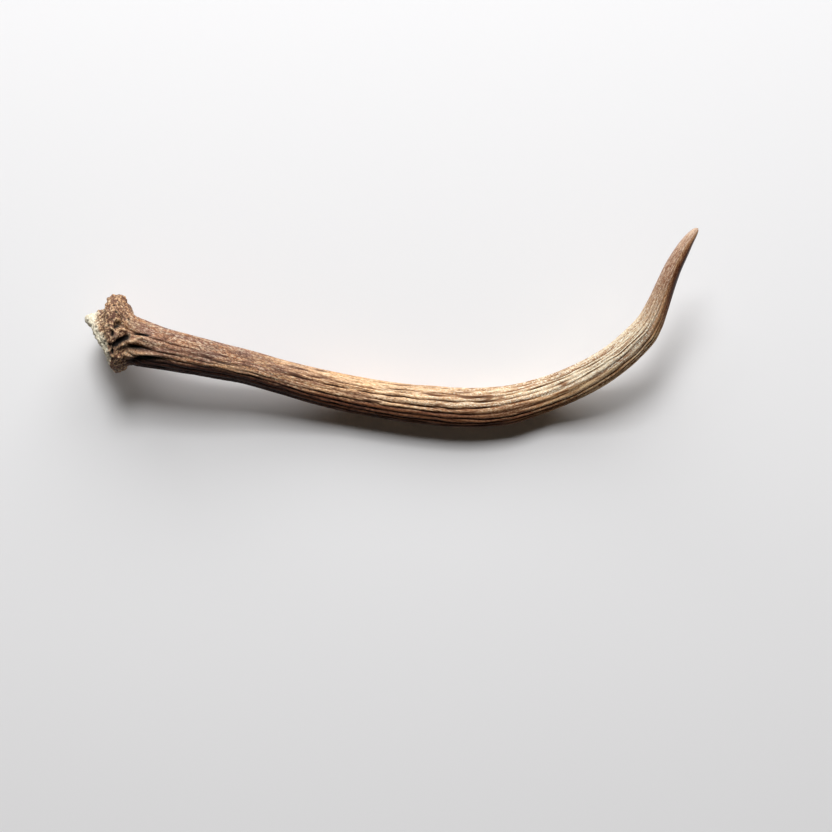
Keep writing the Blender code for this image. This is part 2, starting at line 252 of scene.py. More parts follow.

# Brown stains in the grain, the first two being painted shade in the shaded hollow past the burr: (darkness,
# half width, [(along, around), ...]).
STAINS_AND_SHADE = [
    (0.9, 3.4, [(60.0, 6.0), (70.0, 2.0), (82.0, -8.0), (94.0, -22.0)]),
    (0.9, 1.9, [(51.0, 23.0), (58.0, 18.0), (68.0, 14.0)]),
    (0.9, 2.0, [(98.0, -42.0), (104.0, -38.0), (112.0, -30.0)]),
    (0.8, 1.6, [(118.0, -8.0), (124.0, -12.0), (130.0, -14.0)]),
    (1.1, 1.3, [(131.0, -20.0), (138.0, -14.0), (150.0, -12.0)]),
    (0.7, 1.3, [(143.0, -36.0), (150.0, -32.0), (156.0, -31.0)]),
    (0.9, 1.7, [(154.0, 4.0), (168.0, 2.0), (182.0, 5.0)]),
    (0.9, 1.5, [(236.0, 6.0), (250.0, 4.0), (266.0, 8.0)]),
    (0.8, 1.8, [(240.0, 18.0), (254.0, 22.0), (264.0, 24.0)]),
    (1.1, 1.6, [(312.0, 6.0), (316.0, 12.0), (323.0, 16.0)]),
    (0.9, 1.2, [(313.0, 27.0), (317.0, 26.0), (321.0, 28.0)]),
    (0.7, 2.2, [(326.0, 6.0), (334.0, 14.0), (346.0, 18.0)]),
    (0.8, 1.6, [(330.0, 26.0), (337.0, 26.0), (343.0, 22.0)]),
]

# How much of the pearly burr shows at each place along: (along, share).
PEARLY = [
    (0.0, 0.4), (10.0, 0.7), (16.0, 0.9), (24.0, 1.0), (36.0, 1.0), (46.0, 0.35), (56.0, 0.0), (400.0, 0.0),
]
LEAST_PEARLY = 0.02

# The lumps of the burr, (size, which part of the noise, height), the grains on them, and the pores between
# them, with painted shade in the pores. Reach, edge and top are in shares of the grains' size or the pores'
# spacing.
BURR_LUMPS = [(4.5, 0.0, 0.9), (2.2, 5.0, 0.5)]
GRAIN_SIZE = 2.0
GRAIN_HEIGHT = 0.5
GRAIN_REACH = 0.5
GRAIN_LOWEST = -0.7
GRAIN_EDGE = 0.62
GRAIN_EDGE_DARKNESS = 0.5
GRAIN_TOP = 0.4
GRAIN_WEAR = 0.6
PORE_SPACING = 3.3
PORE_REACH = 0.2
PORE_DEPTH = 0.8
PORE_DARKNESS = 0.9
PORE_SHIFT = 50.0

# Where the pale seal ends, round the burr: (around, along).
SEAL_EDGE = [
    (-180.0, 17.0), (-120.0, 17.0), (-80.0, 18.0), (-34.0, 16.5), (-12.0, 17.5), (14.0, 23.0),
    (28.0, 26.0), (44.0, 27.5), (70.0, 24.0), (110.0, 19.0), (180.0, 17.0),
]
SEAL_FADE = 3.0
SEAL_RAGGEDNESS = 0.7

# Where the painted shade of the outer side, turned from the lamps, starts and how strong it is: (along,
# around, share).
OUTER_SHADE = [
    (0.0, 70.0, 0.0), (34.0, 66.0, 0.0), (44.0, 56.0, 0.8), (56.0, 40.0, 1.0), (80.0, 25.0, 1.0),
    (114.0, 19.0, 1.0), (150.0, 14.0, 1.0), (182.0, 11.0, 1.0), (230.0, 6.0, 0.95), (252.0, 0.0, 0.8),
    (280.0, 2.0, 0.35), (296.0, 8.0, 0.12), (312.0, 14.0, 0.1), (338.0, 16.0, 0.1), (352.0, 14.0, 0.6),
    (372.0, 4.0, 1.0), (388.0, 6.0, 0.9), (400.0, 20.0, 0.4),
]

# How ragged the edges of the sides are and how far they fade, in degrees. The outer edge fades over up to
# TIP_FADE more past TIP_FADE_START along, the painted shade is deeper from TURNED_START, and both sides end
# below.
SIDE_RAGGEDNESS = 9.0
OUTER_FADE = 12.0
TIP_FADE_START = 340.0
TIP_FADE = 30.0
TURNED_START = 34.0
TURNED_FADE = 16.0
TURNED_EXTRA = 0.3
INNER_START = -6.0
INNER_FADE = 30.0
SIDE_END = 150.0
SIDE_END_FADE = 50.0

# What the mesh tells the bone's colours, each from 0 to about 1 at every point: the dark lines, the pits with
# their painted shade, the worn tops, the brown stains and patches of painted shade, the inner side of the
# bend, the outer side that takes painted shade, and the pale seal.
LOOKS = ("groove", "hollow", "worn", "stain_and_shade", "inner", "outer", "seal")

# Small turns that lay the antler on its feet and the outside of its bend, in degrees about X and Y.
LIE_ROLL = -1.32
LIE_PITCH = 0.32

ANTLER_NAME = "antler_bone"


def smooth_values(knots, place):
    """The values at a place between knots, on a smooth curve through them. A knot starts with its place."""
    last = len(knots) - 1
    low = 0
    while low < last - 1 and knots[low + 1][0] < place:
        low += 1
    before = knots[max(low - 1, 0)]
    start = knots[low]
    end = knots[low + 1]
    after = knots[min(low + 2, last)]
    span = end[0] - start[0]
    share = min(max((place - start[0]) / span, 0.0), 1.0)
    found = []
    for i in range(1, len(start)):
        leaving = (end[i] - before[i]) / (end[0] - before[0]) * span
        arriving = (after[i] - start[i]) / (after[0] - start[0]) * span
        found.append(
            start[i] * (2 * share**3 - 3 * share**2 + 1)
            + leaving * (share**3 - 2 * share**2 + share)
            + end[i] * (3 * share**2 - 2 * share**3)
            + arriving * (share**3 - share**2)
        )
    return found


def section(along):
    """What places the points of one ring: its middle, the way to its outside, half width and half height."""
    x, y, z, facing, half_width, half_height = smooth_values(RINGS, along)
    ahead = np.array((math.cos(math.radians(facing)), math.sin(math.radians(facing)), 0.0))
    return np.array((x, y, z)), np.cross(ahead, UP), max(half_width, 0.0), max(half_height, 0.0)


def plain_points(ring, around):
    """Points of the smooth antler at one or more angles of a ring."""
    middle, outside, half_width, half_height = ring
    angle = np.radians(np.asarray(around, float))[..., None]
    return middle + outside * (half_width * np.sin(angle)) + UP * (half_height * np.cos(angle))


def ways_out(along, around):
    """The ways straight out of the smooth surface at the angles of one ring."""
    reach = 0.4
    turn = 2.0
    behind = section(max(along - reach, RINGS[0][0]))
    beyond = section(min(along + reach, TIP))
    lengthwise = plain_points(beyond, around) - plain_points(behind, around)
    wide_ring = max((behind, beyond), key=lambda ring: ring[2])
    crosswise = plain_points(wide_ring, around + turn) - plain_points(wide_ring, around - turn)
    out = np.cross(crosswise, lengthwise)
    return out / np.linalg.norm(out, axis=1, keepdims=True)


def gutter_courses():
    """Each gutter's course, (along, around, share of the depth), the upper face's first and then the rest."""
    chance = random.Random(GUTTER_SEED)
    courses = [UPPER_GUTTERS[number] for number in sorted(UPPER_GUTTERS)]
    pitch = 360.0 / GUTTERS
    for number in range(max(UPPER_GUTTERS) + 1, GUTTERS + min(UPPER_GUTTERS)):
        course = [(0.0, number * pitch, 1.0)]
        for along in GUTTER_KNOTS:
            wander = chance.uniform(-GUTTER_WANDER, GUTTER_WANDER)
            course.append((float(along), number * pitch + wander, chance.uniform(*GUTTER_SHARES)))
        courses.append(course)
    first = courses[0]
    courses.append([(along, around + 360.0, share) for along, around, share in first])
    return courses


def hump(distance, reach):
    """1 in the middle of a knob, and 0 at its reach."""
    return np.maximum(1.0 - (distance / reach) ** 2, 0.0) ** 2


def place_knobs():
    """Each knob as (along, middle, height, reach, darkness), with the pearls of the hidden rim."""
    chance = random.Random(PEARL_SEED)
    pearls = []
    for number in range(PEARLS):
        around = PEARL_FIRST + (PEARL_LAST - PEARL_FIRST) * number / (PEARLS - 1)
        along = RIM + chance.uniform(*PEARL_OFF_RIM)
        height = chance.uniform(*PEARL_HEIGHTS)
        reach = chance.uniform(*PEARL_REACHES)
        pearls.append((along, around + chance.uniform(-PEARL_TURN, PEARL_TURN), height, reach, 0.0))
    placed = []
    for along, around, height, reach, darkness in KNOBS + FEET + pearls:
        placed.append((along, plain_points(section(along), around), height, reach, darkness))
    return placed


def place_folds():
    """Each fold as (points along it, share of its height at each, height, half width, darkness, first place
    along, last place along), and after them the stains and the patches of painted shade, which have no
    height."""
    placed = []
    stains_and_shade = [(0.0, half_width, darkness, course) for darkness, half_width, course in STAINS_AND_SHADE]
    for height, half_width, darkness, course in FOLDS + stains_and_shade:
        knots = [(number, along, around) for number, (along, around) in enumerate(course)]
        points = []
        shares = []
        for number in range(FOLD_SAMPLES + 1):
            share = number / FOLD_SAMPLES
            along, around = smooth_values(knots, share * (len(course) - 1))
            points.append(plain_points(section(along), around))
            shares.append(math.sin(math.pi * (FOLD_ENDS + (1.0 - 2.0 * FOLD_ENDS) * share)))
        first = min(along for along, _ in course) - FOLD_MARGIN
        last = max(along for along, _ in course) + FOLD_MARGIN
        placed.append((np.array(points), np.array(shares), height, half_width, darkness, first, last))
    return placed


def row_places():
    """Where the rows of the carved mesh are, from the middle of the seal to the tip."""
    places = [RINGS[0][0]]
    while places[-1] < TIP - TIP_STEP:
        at = places[-1]
        if at < BURR_END:
            step = BURR_STEP
        elif at < TIP_START:
            step = SHAFT_STEP
        else:
            step = TIP_STEP
        places.append(at + step)
    places[-1] = TIP
    return places


def ripple(points, across, lengthwise, shift=0.0):
    """Smooth noise from -1 to 1 at (x, y, along) points, with the size of its waves in millimetres."""
    return np.array([
        noise.noise((x / across + shift, y / across, along / lengthwise)) for x, y, along in points
    ])


def cells(points, size):
    """The distance to the nearest of many scattered points, about 0 to 1, at that size in millimetres."""
    return np.array([noise.voronoi(Vector(point) / size)[0][0] for point in points])


def cut_gutters(row, along, course, share, pitch, before, after):
    """Lowers a row at its gutters, with a narrow, dark cut along the bottom of each. Before and after are the
    strengths of the gutters on both sides of each point."""
    depth = smooth_values(GUTTER_DEPTH, along)[0]
    cut = smooth_values(CUT_DEPTH, along)[0]
    wobble = CUT_WOBBLE * ripple(course, *WOBBLE_WAVES)
    broken = np.clip(CUT_STRENGTH + CUT_UNEVENNESS * ripple(course, *CUT_BREAK_WAVES), 0.0, CUT_STRONGEST)
    for away, strength in ((share * pitch - wobble, before), ((1.0 - share) * pitch + wobble, after)):
        reach = np.minimum(np.abs(away) / pitch, 0.5)
        row["relief"] -= depth * strength * np.cos(np.pi * reach) ** 2
        width = CUT_WIDTH * (CUT_NARROWEST + CUT_WIDENING * strength)
        line = strength * broken * np.exp(-(away / width) ** 2)
        row["relief"] -= cut * line
        row["groove"] = np.maximum(row["groove"], line * min(cut / CUT_DARK_FROM, 1.0))


def cut_creases(row, along, course):
    """Cuts the fine creases of a row, and lifts the low lumps and swells between them."""
    depth = smooth_values(CREASE_DEPTH, along)[0]
    if depth > 0.0:
        darkness = CREASE_DARKNESS * min(depth / CREASE_DARK_FROM, 1.0)
        swaying = course + np.array((CREASE_SWAY, CREASE_SWAY, 0.0)) * ripple(course, *SWAY_WAVES)[:, None]
        across, lengthwise, shift = CREASE_BREAK_WAVES
        for size, length, weight in CREASE_SIZES:
            crease = np.exp(-(ripple(swaying, size, length, size) / CREASE_WIDTH) ** 2)
            unevenness = CREASE_UNEVENNESS * ripple(course, across, lengthwise, shift + size)
            crease *= np.clip(CREASE_STRENGTH + unevenness, 0.0, 1.0)
            row["relief"] -= depth * weight * crease
            row["groove"] = np.maximum(row["groove"], crease * weight * darkness)
        row["relief"] += LUMP_SHARE * depth * ripple(course, *LUMP_WAVES)
    row["relief"] += SWELL_HEIGHT * ripple(course, *SWELL_WAVES)


def raise_knobs(row, along, plain, knobs):
    """Raises the knobs of a row and sinks its pits, with painted shade in them."""
    for knob_along, middle, height, reach, darkness in knobs:
        if abs(along - knob_along) < reach:
            distance = np.maximum(np.linalg.norm(plain - middle, axis=1), abs(along - knob_along))
            row["relief"] += height * hump(distance, reach)
            row["hollow"] = np.maximum(row["hollow"], darkness * hump(distance, reach))


def raise_folds(row, along, plain, folds):
    """Raises the ridges of a row, worn pale on top, sinks its hollows with painted shade in them, and lays
    its stains and its patches of painted shade.
    """
    for points, shares, height, half_width, darkness, first, last in folds:
        if first < along < last:
            distances = np.linalg.norm(plain[:, None, :] - points[None, :, :], axis=2)
            nearest = distances.argmin(axis=1)
            distance = distances[np.arange(COLUMNS), nearest]
            foot = half_width * FOLD_FOOT
            if height > 0.0:
                amount = shares[nearest] * np.maximum(1.0 - distance / foot, 0.0) ** RIDGE_SHARPNESS
                row["worn"] = np.maximum(row["worn"], amount ** WEAR_SHARPNESS)
            else:
                amount = shares[nearest] * hump(distance, foot)
                look = "hollow" if height < 0.0 else "stain_and_shade"
                row[look] = np.maximum(row[look], darkness * amount)
            row["relief"] += height * amount


def grow_grains(row, along, plain):
    """Gives a row of the burr its lumps, its grains with worn tops and dark edges, and its pores, with
    painted shade in them.
    """
    pearly = smooth_values(PEARLY, along)[0]
    if pearly <= LEAST_PEARLY:
        return
    lumps = sum(ripple(plain, size, size, shift) * height for size, shift, height in BURR_LUMPS)
    distance = cells(plain, GRAIN_SIZE)
    grains = GRAIN_HEIGHT * (1.0 - (distance / GRAIN_REACH) ** 2).clip(GRAIN_LOWEST, 1.0)
    pore = np.exp(-(cells(plain + PORE_SHIFT, PORE_SPACING) / PORE_REACH) ** 2)
    row["relief"] += pearly * (lumps + grains)
    row["relief"] -= pearly * PORE_DEPTH * pore
    row["hollow"] = np.maximum(row["hollow"], pearly * PORE_DARKNESS * pore)
    edges = (distance / GRAIN_EDGE).clip(0.0, 1.0) ** 3 * GRAIN_EDGE_DARKNESS
    row["groove"] = np.maximum(row["groove"] * (1.0 - pearly), pearly * edges)
    tops = (1.0 - distance / GRAIN_TOP).clip(0.0, 1.0)
    row["worn"] = np.maximum(row["worn"], pearly * GRAIN_WEAR * tops)


def find_sides(row, along, around, course, plain):
    """Finds where the seal and the inner side are in a row, and the outer side, which takes the painted
    shade.
    """
    wrapped = (around + 180.0) % 360.0 - 180.0
    edge = np.array([smooth_values(SEAL_EDGE, place)[0] for place in wrapped])
    raggedness = SEAL_RAGGEDNESS * ripple(plain, *SEAL_WAVES)
    row["seal"] = ((edge - along) / SEAL_FADE + 0.5 + raggedness).clip(0.0, 1.0)
    start, strength = smooth_values(OUTER_SHADE, along)
    ragged = wrapped + SIDE_RAGGEDNESS * ripple(course, *RAGGED_WAVES)
    fade = OUTER_FADE + min(max(along - TIP_FADE_START, 0.0), TIP_FADE)
    outer = strength * ((ragged - start) / fade).clip(0.0, 1.0)
    outer *= ((SIDE_END - ragged) / SIDE_END_FADE).clip(0.0, 1.0)
    row["outer"] = outer * (1.0 + TURNED_EXTRA * ((ragged - TURNED_START) / TURNED_FADE).clip(0.0, 1.0))
    inner = ((INNER_START - ragged) / INNER_FADE).clip(0.0, 1.0)
    row["inner"] = inner * ((ragged + SIDE_END) / SIDE_END_FADE).clip(0.0, 1.0)


def carve_row(along, courses, knobs, folds):
    """One row of the antler: its points, their places for the grain, and the amounts in LOOKS at each."""
    columns = np.arange(COLUMNS)
    gutter = columns // COLUMNS_PER_GUTTER
    share = (columns % COLUMNS_PER_GUTTER) / COLUMNS_PER_GUTTER
    lines = np.array([smooth_values(course, along) for course in courses])
    span = lines[gutter + 1, 0] - lines[gutter, 0]
    around = lines[gutter, 0] + span * share
    ring = section(along)
    half_width = ring[2]
    pitch = np.radians(span) * max(half_width, THINNEST)
    plain = plain_points(ring, around)
    out = ways_out(along, around)
    angle = np.radians(around)
    course = np.stack([np.cos(angle), np.sin(angle), np.full(COLUMNS, along)], axis=1)
    course[:, :2] *= COURSE_WIDTH

    row = {name: np.zeros(COLUMNS) for name in ("relief",) + LOOKS}
    cut_gutters(row, along, course, share, pitch, lines[gutter, 1], lines[gutter + 1, 1])
    cut_creases(row, along, course)
    raise_knobs(row, along, plain, knobs)
    raise_folds(row, along, plain, folds)
    grow_grains(row, along, plain)
    find_sides(row, along, around, course, plain)
    relief = row["relief"]
    relief = np.where(relief < 0.0, DEEPEST * np.tanh(relief / DEEPEST), relief)
    relief *= min(half_width / THIN_END, 1.0)
    return plain + out * relief[:, None], course, [row[name] for name in LOOKS]


def carve_antler():
    """A fine grid wrapped round the antler, closed at the seal and the tip."""
    courses = gutter_courses()
    knobs = place_knobs()
    folds = place_folds()
    rows = row_places()
    mesh = bmesh.new()
    course_layer = mesh.verts.layers.float_vector.new("course")
    layers = [mesh.verts.layers.float.new(name) for name in LOOKS]
    bmesh.ops.create_grid(mesh, x_segments=COLUMNS, y_segments=len(rows) - 1, size=1.0)
    by_row = {}
    for vertex in mesh.verts:
        row = round((vertex.co.y + 1.0) / 2.0 * (len(rows) - 1))
        column = round((vertex.co.x + 1.0) / 2.0 * COLUMNS)
        by_row.setdefault(row, []).append((column % COLUMNS, vertex))
    for row, members in by_row.items():
        points, course, looks = carve_row(rows[row], courses, knobs, folds)
        for column, vertex in members:
            vertex.co = points[column] * MM
            vertex[course_layer] = course[column] * MM
            for layer, look in zip(layers, looks):
                vertex[layer] = look[column]
    bmesh.ops.remove_doubles(mesh, verts=mesh.verts, dist=WELD * MM)
    bmesh.ops.recalc_face_normals(mesh, faces=mesh.faces)
    return mesh


def lay_down(mesh):
    """Turns the antler on to its feet and its bend, as the solid lies, with its box on the solid's box."""
    roll = Matrix.Rotation(math.radians(LIE_ROLL), 4, "X")
    pitch = Matrix.Rotation(math.radians(LIE_PITCH), 4, "Y")
    bmesh.ops.transform(mesh, matrix=pitch @ roll, verts=mesh.verts)
    low = Vector([min(vertex.co[axis] for vertex in mesh.verts) for axis in range(3)])
    high = Vector([max(vertex.co[axis] for vertex in mesh.verts) for axis in range(3)])
    middle = (low + high) / 2
    bmesh.ops.translate(mesh, vec=(-middle.x, -middle.y, -low.z), verts=mesh.verts)


# The colours of the ridges, of the fine creases and of the deep gutters: (along, red, green, blue).
RIDGE_TONES = [
    (0, 226, 206, 176), (22, 228, 190, 146), (36, 212, 164, 118), (60, 194, 142, 104), (100, 200, 143, 98),
    (128, 230, 176, 124), (165, 236, 188, 138), (215, 234, 196, 152), (250, 240, 210, 168),
    (300, 255, 240, 208), (328, 255, 244, 214), (344, 250, 226, 190), (356, 224, 184, 146),
    (374, 208, 164, 136), (386, 214, 176, 150), (400, 186, 146, 124),
]
CREASE_TONES = [
    (0, 120, 96, 74), (30, 116, 78, 58), (100, 98, 64, 52), (150, 112, 72, 50), (215, 132, 88, 58),
    (265, 158, 110, 74), (300, 158, 112, 78), (330, 184, 138, 100), (358, 138, 92, 66), (400, 140, 104, 82),
]
GUTTER_TONES = [
    (0, 96, 72, 54), (30, 50, 30, 21), (70, 50, 30, 22), (120, 60, 36, 24), (180, 62, 38, 25),
    (250, 76, 48, 31), (300, 104, 72, 48), (330, 124, 88, 60), (356, 96, 60, 42), (400, 116, 82, 62),
]

# What is laid over them: (red, green, blue, how strongly).
PAINTS = {
    "ruddy": (190, 128, 78, 1.0),
    "bleached": (250, 230, 196, 0.45),
    "sunlit": (246, 200, 154, 0.4),
    "smoky": (146, 110, 106, 0.6),
    "stained_and_shaded": (122, 90, 78, 0.75),
    "speck": (255, 240, 208, 1.0),
    "band": (196, 146, 102, 0.3),
    "band dot": (146, 98, 66, 1.0),
    "fleck": (255, 250, 230, 1.0),
    "pale streak": (240, 212, 184, 0.5),
    "brown streak": (128, 80, 58, 0.5),
    "freckle": (118, 68, 44, 1.0),
    "inner base": (230, 226, 226, 1.0),
    # The outer side, outer base, warm side and turned side paints are painted shade on the side turned from
    # the lamps.
    "outer side": (136, 104, 82, 1.0),
    "outer base": (158, 134, 118, 1.0),
    "warm side": (255, 226, 186, 0.7),
    "turned side": (200, 190, 180, 1.0),
    "bead top": (244, 210, 164, 0.6),
    "bead edge": (88, 58, 50, 0.75),
    "worn": (230, 190, 146, 0.45),
    "chalk": (250, 244, 222, 1.0),
    "chalk edge": (168, 146, 114, 0.5),
    "chalk pore": (58, 42, 34, 1.0),
    # The hollow paint is painted shade, near black, in the pits, the burr's pores and the hollows of the
    # folds.
    "hollow": (17, 10, 7, 1.0),
}

# Patches and specks that run with the bone: (size across and size lengthwise in millimetres, level of the
# noise where they start, level where they are full, detail of the noise).
STREAK_SOCKETS = ("Across", "Lengthwise", "Low", "High", "Detail")
STREAKS = {
    "ruddy": (4.0, 26.0, 0.48, 0.66, 2.0),
    "bleached": (2.2, 15.0, 0.5, 0.68, 2.0),
    "smoky": (3.4, 16.0, 0.46, 0.58, 3.0),
    "long grain": (0.7, 2.0, 0.5, 0.61, 3.0),
    "round grain": (0.85, 1.25, 0.49, 0.6, 3.0),
    "long speck": (0.7, 2.0, 0.45, 0.33, 3.0),
    "round speck": (0.85, 1.25, 0.42, 0.32, 3.0),
    "creased": (2.6, 12.0, 0.44, 0.58, 2.0),
    "band": (2.1, 70.0, 0.5, 0.57, 1.0),
    "band dot": (0.6, 1.4, 0.45, 0.51, 1.0),
    "dot": (0.5, 1.1, 0.515, 0.56, 1.0),
    "fleck": (0.55, 1.2, 0.46, 0.4, 1.0),
    "pale streak": (1.0, 10.0, 0.52, 0.6, 2.0),
    "brown streak": (0.9, 7.0, 0.47, 0.4, 2.0),
    "freckle": (0.7, 1.6, 0.47, 0.53, 2.0),
}

# Thin creases of the colour: (size across, size lengthwise, half their width in levels of the noise).
CREASE_SOCKETS = ("Across", "Lengthwise", "Width")
CREASES = {"long": (1.2, 28.0, 0.03), "short": (0.7, 12.0, 0.04)}

# Pores and grains: (spacing, distance from a middle where they start, distance where they are full).
PORE_SOCKETS = ("Size", "Low", "High")
PORES = {"bead": (1.0, 0.1, 0.6), "chalk grain": (1.0, 0.25, 0.6), "chalk pore": (1.4, 0.3, 0.12)}

# Where along the bone each kind of surface starts to show and where it is full, in millimetres.
STRETCHES = {
    "rim of the seal": (13.0, 19.0),
    "burr": (52.0, 38.0),
    "past the burr": (36.0, 50.0),
    "sunny": (90.0, 112.0),
    "up to the beam": (160.0, 120.0),
    "turned": (120.0, 170.0),
    "bend": (170.0, 270.0),
    "banded": (200.0, 290.0),
    "lower beam": (240.0, 200.0),
    "pale": (220.0, 270.0),
    "up to the tip": (355.0, 340.0),
    "polish": (335.0, 365.0),
    "short of the point": (396.0, 384.0),
}

# How strong a look, the roughness or the grain's height is, off a kind of surface and on it.
STRENGTHS = {
    ("ruddy", "pale"): (0.45, 0.2),
    ("grain", "base"): (1.0, 0.3),
    ("grain", "lit"): (0.85, 0.5),
    ("grain", "bend"): (1.0, 0.35),
    ("speck", "polish"): (0.75, 0.5),
    ("speck", "stained_and_shaded"): (1.0, 0.3),
    ("crease", "polish"): (0.85, 0.2),
    ("crease", "lit"): (1.0, 0.6),
    ("band", "polish"): (0.8, 0.5),
    ("dot", "polish"): (0.45, 0.3),
    ("fleck", "polish"): (0.85, 0.4),
    ("roughness", "polish"): (0.62, 0.36),
    ("grain height", "polish"): (0.35, 0.2),
}
GRAIN_IN_STAINS_AND_SHADE = 0.4
CARVED_COVER = 0.85

# Between which amounts a look comes in, and how strong it is at both where that isn't 0 and 1.
LEVELS = {
    "carved": (0.12, 0.5),
    "dark gutter": (0.45, 0.95),
    "freckled side": (0.0, 0.6, 0.7, 0.95),
    "warm side": (0.0, 0.1),
    "turned side": (1.0, 1.3),
    "bead top": (0.5, 0.0),
    "bead edge": (0.75, 1.0),
    "hollow": (0.15, 0.75),
}

# How rough the noise of the patches is, and the level that it has in its middle.
NOISE_ROUGHNESS = 0.6
NOISE_MIDDLE = 0.5

# The roughness that the grain adds and that the seal and the gutters have, and the bone's gloss.
GRAIN_ROUGHNESS = 0.12
SEAL_ROUGHNESS = 0.85
CARVED_ROUGHNESS = 0.8
BONE_SPECULAR = 0.32

# The finest relief, which the mesh leaves to the material: shares of its depth, and the depth in millimetres.
BUMP_LEVEL = 0.8
BUMP_CREASE = 0.35
BUMP_BEADS = 0.6
BUMP_DEPTH = 0.2
BUMP_STRENGTH = 0.8


def tone(red, green, blue):
    """A colour given as the 0 to 255 numbers of a paint chart, as the shader wants it."""
    values = [channel / 255.0 for channel in (red, green, blue)]
    return tuple(((v + 0.055) / 1.055) ** 2.4 if v > 0.04045 else v / 12.92 for v in values) + (1.0,)


def new_material(name):
    material = bpy.data.materials.new(name)
    material.use_nodes = True
    return material, material.node_tree.nodes, material.node_tree.links


def new_group(name, vector, numbers, amounts):
    """An empty node group that takes a vector and numbers and puts out amounts."""
    group = bpy.data.node_groups.new(name, "ShaderNodeTree")
    sockets = group.interface
    sockets.new_socket(vector, in_out="INPUT", socket_type="NodeSocketVector")
    for label, value in numbers:
        sockets.new_socket(label, in_out="INPUT", socket_type="NodeSocketFloat").default_value = value
    for label in amounts:
        sockets.new_socket(label, in_out="OUTPUT", socket_type="NodeSocketFloat")
    given = group.nodes.new("NodeGroupInput")
    result = group.nodes.new("NodeGroupOutput")
    return group, group.nodes, group.links, given.outputs, result.inputs


def put_out_amount(group, value, given, result):
    """Puts out a value as an amount, from 0 at the low level to 1 at the high one."""
    levels = group.nodes.new("ShaderNodeMapRange")
    group.links.new(value, levels.inputs["Value"])
    group.links.new(given["Low"], levels.inputs["From Min"])
    group.links.new(given["High"], levels.inputs["From Max"])
    group.links.new(levels.outputs[0], result["Amount"])


def streak_group():
    """A node group: noise that runs with the bone, as long patches (from 0 to 1 between two levels) and as
    thin creases (1 where the noise passes its middle)."""
    numbers = (
        ("Across", 1.0), ("Lengthwise", 12.0), ("Low", 0.45), ("High", 0.6), ("Detail", 2.0), ("Width", 0.04),
    )
    group, nodes, links, given, result = new_group("Bone streaks", "Course", numbers, ("Amount", "Crease"))
    split = nodes.new("ShaderNodeSeparateXYZ")
    links.new(given["Course"], split.inputs[0])
    joined = nodes.new("ShaderNodeCombineXYZ")
    for axis, size in (("X", "Across"), ("Y", "Across"), ("Z", "Lengthwise")):
        ratio = nodes.new("ShaderNodeMath")
        ratio.operation = "DIVIDE"
        links.new(split.outputs[axis], ratio.inputs[0])
        links.new(given[size], ratio.inputs[1])
        links.new(ratio.outputs[0], joined.inputs[axis])
    waves = nodes.new("ShaderNodeTexNoise")
    waves.inputs["Scale"].default_value = 1.0 / MM
    waves.inputs["Roughness"].default_value = NOISE_ROUGHNESS
    links.new(joined.outputs[0], waves.inputs["Vector"])
    links.new(given["Detail"], waves.inputs["Detail"])
    put_out_amount(group, waves.outputs["Fac"], given, result)
    away = nodes.new("ShaderNodeMath")
    away.operation = "SUBTRACT"
    away.inputs[1].default_value = NOISE_MIDDLE
    links.new(waves.outputs["Fac"], away.inputs[0])
    distance = nodes.new("ShaderNodeMath")
    distance.operation = "ABSOLUTE"
    links.new(away.outputs[0], distance.inputs[0])
    line = nodes.new("ShaderNodeMapRange")
    line.inputs["To Min"].default_value = 1.0
    line.inputs["To Max"].default_value = 0.0
    links.new(distance.outputs[0], line.inputs["Value"])
    links.new(given["Width"], line.inputs["From Max"])
    links.new(line.outputs[0], result["Crease"])
    return group


def pore_group():
    """A node group: round pores and grains of a given size, from 0 in their middles to 1 between them."""
    numbers = (("Size", 1.0), ("Low", 0.0), ("High", 0.6))
    group, nodes, links, given, result = new_group("Bone pores", "Place", numbers, ("Amount",))
    scale = nodes.new("ShaderNodeMath")
    scale.operation = "DIVIDE"
    scale.inputs[0].default_value = 1.0 / MM
    links.new(given["Size"], scale.inputs[1])
    grains = nodes.new("ShaderNodeTexVoronoi")
    links.new(given["Place"], grains.inputs["Vector"])
    links.new(scale.outputs[0], grains.inputs["Scale"])
    put_out_amount(group, grains.outputs["Distance"], given, result)
    return group


